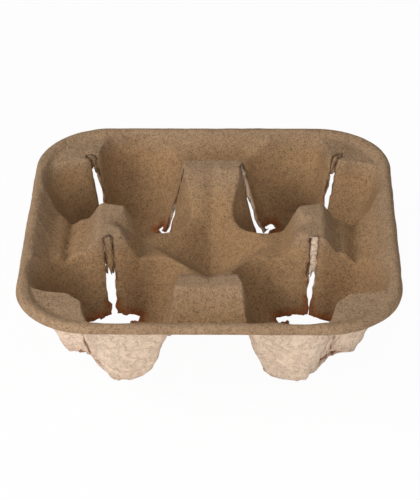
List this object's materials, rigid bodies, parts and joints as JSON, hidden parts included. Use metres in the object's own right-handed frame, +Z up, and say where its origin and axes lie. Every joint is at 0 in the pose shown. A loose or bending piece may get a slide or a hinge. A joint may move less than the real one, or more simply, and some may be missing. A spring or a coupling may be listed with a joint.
{
  "type": "moulded pulp cup carrier",
  "caption": "Square moulded pulp carrier tray with cup pockets, slit grips, raised dividers between neighbouring cups, a middle pit and a rolled rim.",
  "frame": {"origin": "on the table, under the middle of the tray", "axes": "+Z up out of the cup pockets; X and Y along the tray's sides"},
  "size_m": [0.215, 0.215, 0.0688],
  "materials": {
    "pulp": "matt"
  },
  "bodies": {
    "root": {"cup_tray": "pulp"}
  },
  "joints": []
}
